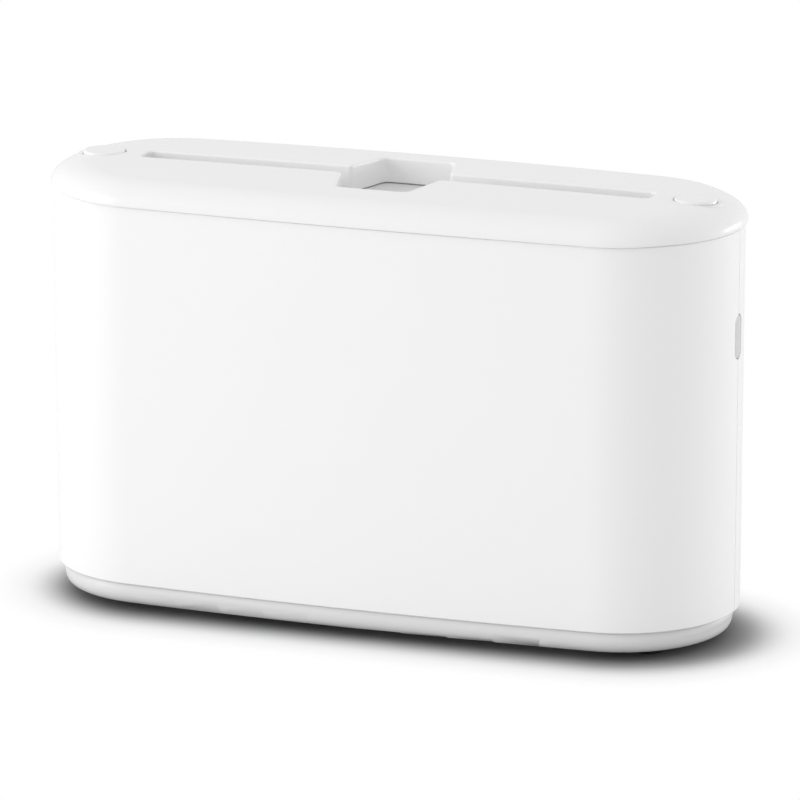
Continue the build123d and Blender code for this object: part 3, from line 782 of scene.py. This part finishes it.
def make_shell_fittings(name, side):
    """Screw bosses with their webs, and the latch catches, inside one shell."""
    bm = bmesh.new()
    boss_y = side * (LID_DEPTH / 2 - BOSS_SETBACK)
    for boss_x in (-BOSS_X, 0.0, BOSS_X):
        wall_y = side * (LID_DEPTH / 2 - WEB_SETBACK - (WEB_BOW if boss_x else 0.0))
        post(bm, boss_x, boss_y, BOSS_HALF, BOSS_HALF, BOSS_LOW, BOSS_HIGH, edge=FITTING_EDGE)
        near, far = sorted((boss_y, wall_y))
        block(bm, (boss_x - WEB_HALF, near, BOSS_LOW), (boss_x + WEB_HALF, far, BOSS_HIGH))
    catch_x = LID_LENGTH / 2 - SHELL_INSIDE - CATCH_REACH
    for end in (1, -1):
        left, right = sorted((end * catch_x, end * (catch_x + CATCH_LENGTH)))
        near, far = sorted((side * CATCH_NEAR, side * CATCH_FAR))
        block(bm, (left, near, CATCH_LOW), (right, far, CATCH_HIGH), edge=FITTING_EDGE)
    piece(name, bm, "casing", shell_white)


def tongue_ring(inset, level):
    """Short arc across an end seam."""
    radius = END_RADIUS - inset
    spread = asin(TONGUE_HALF / radius)
    angles = [spread * step / TONGUE_STEPS for step in range(-TONGUE_STEPS, TONGUE_STEPS + 1)]
    return [(END_CENTRE + radius * cos(angle), radius * sin(angle), level) for angle in angles]


def make_seam_tongues():
    """Strips on the rear shell that lie behind the end seams, above and below the windows."""
    bm = bmesh.new()
    window_low = WINDOW_LEVEL - WINDOW_HEIGHT / 2 - TONGUE_WINDOW_ROOM
    window_high = WINDOW_LEVEL + WINDOW_HEIGHT / 2 + TONGUE_WINDOW_ROOM
    for low, high in ((TONGUE_LOW, window_low), (window_high, TONGUE_HIGH)):
        section = [(TONGUE_OUTER, low), (TONGUE_OUTER, high), (TONGUE_INNER, high), (TONGUE_INNER, low)]
        skin(bm, [tongue_ring(inset, level) for inset, level in section], closed=True)
    weld(bm, FINE_WELD)
    close_ends(bm)
    mirror_about(bm, "X")
    piece("seam_tongues", bm, "casing", shell_white)


def make_window(name, node, end):
    """Level window: a smoky lens with a rounded rim, and its flange behind the wall."""
    bm = bmesh.new()
    face = LID_LENGTH / 2 - SHELL_INSET_HIGH - WINDOW_SETBACK
    back = window_box[0].x
    lens_depth = face - back - FLANGE_OVERLAP
    pill(bm, face, WINDOW_WIDTH, WINDOW_HEIGHT, WINDOW_LEVEL, lens_depth, edge=WINDOW_RIM)
    width = WINDOW_WIDTH + FLANGE_GROWTH
    height = WINDOW_HEIGHT + FLANGE_GROWTH
    front = back + FLANGE_THICKNESS
    pill(bm, front, width, height, WINDOW_LEVEL, FLANGE_THICKNESS, edge=FITTING_EDGE)
    flip(bm, end)
    piece(name, bm, "casing", window_grey, nodes=[node], sharp=50.0)


def button_outline(top):
    """Half section of a button's cap: domed top, rolled edge and skirt."""
    flat = BUTTON_RADIUS - BUTTON_EDGE
    rim = top - BUTTON_DOME
    outline = [(0.0, top)]
    for step in range(1, EDGE_STEPS + 1):
        share = step / EDGE_STEPS
        outline.append((flat * share, top - BUTTON_DOME * share**2))
    for step in range(1, EDGE_STEPS + 1):
        angle = pi / 2 * step / EDGE_STEPS
        radius = BUTTON_RADIUS - BUTTON_EDGE * (1 - sin(angle))
        outline.append((radius, rim - BUTTON_EDGE * (1 - cos(angle))))
    skirt_low = button_box[1].z - BUTTON_SKIRT
    skirt_inside = BUTTON_RADIUS - BUTTON_SKIRT_WALL
    outline += [
        (BUTTON_RADIUS, skirt_low),
        (skirt_inside, skirt_low),
        (skirt_inside, top - BUTTON_CAP),
        (0.0, top - BUTTON_CAP),
    ]
    return outline


def make_button(name, node, end):
    """Push button: its turned cap, and its necked stem."""
    bm = bmesh.new()
    top = BUTTON_SURFACE + BUTTON_PROUD
    turned(bm, button_outline(top), BUTTON_X, steps=FINE_TURN_STEPS)
    shoulder = bracket_box[1].z - CROSSBAR_DROP
    bar = shoulder - CROSSBAR_HEIGHT
    stem = [
        (POST_WIDTH, bar - POST_OVERLAP, top - POST_TOP),
        (CROSSBAR_WIDTH, bar, shoulder),
        (NECK_WIDTH, bar - NECK_LENGTH, bar),
        (STEM_FOOT_WIDTH, bar - STEM_FOOT_LOW, bar - STEM_FOOT_TOP),
    ]
    for width, low, high in stem:
        post(bm, BUTTON_X, 0.0, STEM_THICKNESS / 2, width / 2, low, high)
    flip(bm, end)
    piece(name, bm, node, button_white, nodes=[node], sharp=40.0)


def make_platform_field():
    """Low raised field on the platform, in the outline of the opening and slot above it."""
    bm = bmesh.new()
    foot = platform_box[1].z
    top = foot + FIELD_HEIGHT
    section = [(FIELD_MARGIN, foot), (FIELD_MARGIN, top - EASED_EDGE), (FIELD_MARGIN - EASED_EDGE, top)]
    skin(bm, [at_level(opening_outline(growth), level) for growth, level in section])
    mirror_about(bm, "X")
    mirror_about(bm, "Y")
    close_ends(bm)
    piece("platform_field", bm, "platform", platform_grey, sharp=40.0)


def make_base():
    """Base moulding, drawn in further at its ends than along its sides."""
    base = carried_over("base", "base_tray", "casing", base_grey, 0.0)
    for vert in base.data.vertices:
        past_centre = (abs(vert.co.x) - END_CENTRE) / END_RADIUS
        depth = (SHELL_LEVEL - vert.co.z) / (SHELL_LEVEL - base_box[0].z)
        if past_centre > 0 and depth >= 0:
            reach = BASE_DRAW_IN + BASE_UNDERCUT * sin(pi * min(depth, 1.0))
            vert.co.x *= 1 - reach * past_centre**2 / abs(vert.co.x)


def make_feet():
    """Rubber feet with a rolled lower edge and a ring groove underneath."""
    bm = bmesh.new()
    top = feet_box[1].z
    outline = [
        (0.0, top),
        (FOOT_RADIUS, top),
        (FOOT_RADIUS, FOOT_EDGE),
        (FOOT_RADIUS - FOOT_EDGE_STEP, FOOT_EDGE_STEP),
        (FOOT_RADIUS - FOOT_EDGE, 0.0),
        (GROOVE_OUTER, 0.0),
        (GROOVE_OUTER_FLOOR, GROOVE_DEPTH),
        (GROOVE_INNER_FLOOR, GROOVE_DEPTH),
        (GROOVE_INNER, 0.0),
        (0.0, 0.0),
    ]
    for x, y in ((FOOT_X, FOOT_Y), (-FOOT_X, FOOT_Y), (-FOOT_X, -FOOT_Y), (FOOT_X, -FOOT_Y)):
        turned(bm, outline, x, y, steps=FOOT_TURN_STEPS)
    piece("feet", bm, "casing", foot_rubber, nodes=["rubber_feet"], sharp=40.0)


def make_spring(name, node, body, x, low, high, radius, wire, turns):
    """Round-wire coil spring: a wire section spun up its axis, with a closed turn at each end."""
    bm = bmesh.new()
    made = bmesh.ops.create_circle(bm, cap_ends=False, radius=wire / 2, segments=12)["verts"]
    bmesh.ops.transform(bm, matrix=Matrix.Rotation(pi / 2, 4, "X"), verts=made)
    bmesh.ops.translate(bm, verts=made, vec=(x + radius, 0.0, low + wire / 2))
    section = list({e for v in made for e in v.link_edges})
    bmesh.ops.edgeloop_fill(bm, edges=section)
    rise = high - low - wire
    closed_rise = wire * CLOSED_TURN_PITCH
    for count, climb in ((1, closed_rise), (turns, rise - 2 * closed_rise), (1, closed_rise)):
        steps = count * COIL_TURN_STEPS
        spun = bmesh.ops.spin(
            bm,
            geom=section,
            cent=(x, 0.0, 0.0),
            axis=(0.0, 0.0, 1.0),
            dvec=(0.0, 0.0, climb / steps),
            angle=2 * pi * count,
            steps=steps,
            use_merge=False,
        )
        section = [item for item in spun["geom_last"] if isinstance(item, bmesh.types.BMEdge)]
    bmesh.ops.edgeloop_fill(bm, edges=section)
    return piece(name, bm, body, spring_steel, nodes=[node], sharp=60.0)


def make_lift_spring(end, side):
    """Spring under the platform, built at its node's height; the platform flattens it on its way down.
    """
    spring_x = end * (platform_spring[0].x + platform_spring[1].x) / 2
    low, high = platform_spring[0].z, platform_spring[1].z
    name, node = "lift_spring_" + side, "platform_spring_" + side
    lift = make_spring(name, node, "casing", spring_x, low, high, **LIFT_COIL)
    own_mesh(lift)


def make_return_spring(end, side):
    """Spring under a button's cap, built up to the cap's floor; the button flattens it when it is
    pressed.
    """
    spring_low = button_spring[0].z
    button_floor = BUTTON_SURFACE + BUTTON_PROUD - BUTTON_CAP
    name, node = "return_spring_" + side, "button_spring_" + side
    back = make_spring(name, node, "lid", end * BUTTON_X, spring_low, button_floor, **RETURN_COIL)
    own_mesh(back)


make_lid()
make_lid_inside()
make_shell("front_shell_skin", "front_shell", -1)
make_shell("rear_shell_skin", "rear_shell", 1)
make_shell_fittings("front_shell_fittings", -1)
make_shell_fittings("rear_shell_fittings", 1)
make_seam_tongues()
make_feet()
make_platform_field()
make_base()
carried_over("shell_screw_set", "shell_screws", "casing", screw_steel, FINE_EDGE)
carried_over("guide_screw_set", "guide_screws", "casing", screw_steel, FINE_EDGE)
carried_over("bracket_screw_set", "bracket_screws", "lid", screw_steel, FINE_EDGE)
carried_over("platform", "platform_plate", "platform", platform_grey, EASED_EDGE)
carried_over("shoes", "platform_shoes", "platform", shoe_white, EASED_EDGE)

for end, side in ((1, "right"), (-1, "left")):
    guide, bracket = "guide_" + side, "button_bracket_" + side
    latch, pin = "latch_" + side, "latch_pin_" + side
    make_window("window_lens_" + side, "window_" + side, end)
    make_button("button_cap_" + side, "button_" + side, end)
    carried_over(guide + "_panel", guide, "casing", guide_grey, EASED_EDGE)
    carried_over("bracket_" + side, bracket, "lid", guide_grey, BRACKET_EDGE)
    carried_over("latch_lever_" + side, latch, latch, shoe_white, FINE_EDGE)
    carried_over("pin_" + side, pin, "lid", spring_steel, FINE_EDGE)
    make_lift_spring(end, side)
    make_return_spring(end, side)


def vector_maths(nodes, operation, second=(0.0, 0.0, 0.0)):
    """Vector maths node, with its second value."""
    step = nodes.new("ShaderNodeVectorMath")
    step.operation = operation
    step.inputs[1].default_value = second
    return step


def smooth_ramp(nodes, start, end):
    """Node that rises smoothly from 0 to 1 between two distances."""
    ramp = nodes.new("ShaderNodeMapRange")
    ramp.interpolation_type = "SMOOTHSTEP"
    ramp.inputs["From Min"].default_value = start
    ramp.inputs["From Max"].default_value = end
    return ramp


def floor_material():
    """Pale matt floor with a painted shadow darkening its colour by the base, that turns white to the
    camera away from the dispenser.
    """
    material = bpy.data.materials.new("floor")
    material.use_nodes = True
    nodes, links = material.node_tree.nodes, material.node_tree.links
    shader = nodes["Principled BSDF"]
    shader.inputs["Roughness"].default_value = 0.7
    shader.inputs["Specular IOR Level"].default_value = 0.1
    white = nodes.new("ShaderNodeEmission")
    white.inputs["Strength"].default_value = 1.0

    # Distance from the line between the centres of the dispenser's round ends
    place = nodes.new("ShaderNodeTexCoord")
    shifted = vector_maths(nodes, "SUBTRACT", (SHADOW_SHIFT, 0.0, 0.0))
    positive = vector_maths(nodes, "ABSOLUTE")
    from_end = vector_maths(nodes, "SUBTRACT", (END_CENTRE, 0.0, 0.0))
    outside = vector_maths(nodes, "MAXIMUM")
    distance = vector_maths(nodes, "LENGTH")
    links.new(place.outputs["Object"], shifted.inputs[0])
    links.new(shifted.outputs["Vector"], positive.inputs[0])
    links.new(positive.outputs["Vector"], from_end.inputs[0])
    links.new(from_end.outputs["Vector"], outside.inputs[0])
    links.new(outside.outputs["Vector"], distance.inputs[0])

    # Painted shadow darkening the floor's colour by the base, and how far the floor has turned white
    fade = smooth_ramp(nodes, END_RADIUS - FLOOR_SHADOW_START, END_RADIUS + FLOOR_SHADOW_REACH)
    shade = smooth_ramp(nodes, END_RADIUS - PAINTED_SHADOW_START, END_RADIUS + PAINTED_SHADOW_REACH)
    # Painted shadow: a dark floor colour near the base, mixed into the floor's own pale tone
    painted_shadow_tone = nodes.new("ShaderNodeMix")
    painted_shadow_tone.data_type = "RGBA"
    painted_shadow_tone.inputs["A"].default_value = (0.24, 0.24, 0.245, 1.0)
    painted_shadow_tone.inputs["B"].default_value = (0.86, 0.86, 0.86, 1.0)
    path = nodes.new("ShaderNodeLightPath")
    seen = nodes.new("ShaderNodeMath")
    seen.operation = "MULTIPLY"
    mix = nodes.new("ShaderNodeMixShader")
    links.new(distance.outputs["Value"], fade.inputs["Value"])
    links.new(distance.outputs["Value"], shade.inputs["Value"])
    links.new(shade.outputs["Result"], painted_shadow_tone.inputs["Factor"])
    links.new(painted_shadow_tone.outputs["Result"], shader.inputs["Base Color"])
    links.new(fade.outputs["Result"], seen.inputs[0])
    links.new(path.outputs["Is Camera Ray"], seen.inputs[1])
    links.new(seen.outputs["Value"], mix.inputs["Fac"])
    links.new(shader.outputs["BSDF"], mix.inputs[1])
    links.new(white.outputs["Emission"], mix.inputs[2])
    links.new(mix.outputs["Shader"], nodes["Material Output"].inputs["Surface"])
    return material


def make_floor():
    """Floor, which keeps the dispenser's shadow near it, with painted shade darkening its colour by the
    base.
    """
    bm = bmesh.new()
    bmesh.ops.create_grid(bm, x_segments=1, y_segments=1, size=FLOOR_SIZE)
    floor = linked("floor", bm)
    floor.data.materials.append(floor_material())


def light_world():
    """White to the camera, a plain pale surround to everything else."""
    world = bpy.data.worlds.new("surround")
    bpy.context.scene.world = world
    world.use_nodes = True
    nodes, links = world.node_tree.nodes, world.node_tree.links
    surround = nodes["Background"]
    surround.inputs["Color"].default_value = (1.0, 1.0, 1.0, 1.0)
    surround.inputs["Strength"].default_value = 0.85
    white = nodes.new("ShaderNodeBackground")
    white.inputs["Strength"].default_value = 1.0
    path = nodes.new("ShaderNodeLightPath")
    mix = nodes.new("ShaderNodeMixShader")
    links.new(path.outputs["Is Camera Ray"], mix.inputs["Fac"])
    links.new(surround.outputs["Background"], mix.inputs[1])
    links.new(white.outputs["Background"], mix.inputs[2])
    links.new(mix.outputs["Shader"], nodes["World Output"].inputs["Surface"])


def lamp(name, place, width, height, power):
    """Soft rectangular lamp aimed at the dispenser."""
    data = bpy.data.lights.new(name, "AREA")
    data.shape = "RECTANGLE"
    data.size = width
    data.size_y = height
    data.energy = power
    obj = bpy.data.objects.new(name, data)
    obj.location = place
    obj.rotation_euler = (Vector(LAMP_TARGET) - Vector(place)).to_track_quat("-Z", "Y").to_euler()
    bpy.context.scene.collection.objects.link(obj)


def make_camera():
    """Camera at the photograph's angle."""
    data = bpy.data.cameras.new("camera")
    data.sensor_width = SENSOR_WIDTH
    data.lens = FOCAL_PIXELS / PHOTO_SIDE * SENSOR_WIDTH
    data.clip_end = 100.0
    camera = bpy.data.objects.new("camera", data)
    level = cos(CAMERA_ELEVATION)
    away = Vector((sin(CAMERA_AZIMUTH) * level, -cos(CAMERA_AZIMUTH) * level, sin(CAMERA_ELEVATION)))
    camera.location = CAMERA_TARGET + away * CAMERA_DISTANCE
    camera.rotation_euler = (-away).to_track_quat("-Z", "Y").to_euler()
    bpy.context.scene.collection.objects.link(camera)
    bpy.context.scene.camera = camera


make_floor()
light_world()
lamp("left_softbox", (-2.3, -1.4, 0.9), width=1.4, height=1.4, power=27.0)
lamp("right_rear_softbox", (1.9, 1.9, 0.3), width=1.0, height=0.6, power=18.0)
make_camera()
bpy.context.scene.view_settings.view_transform = "Standard"
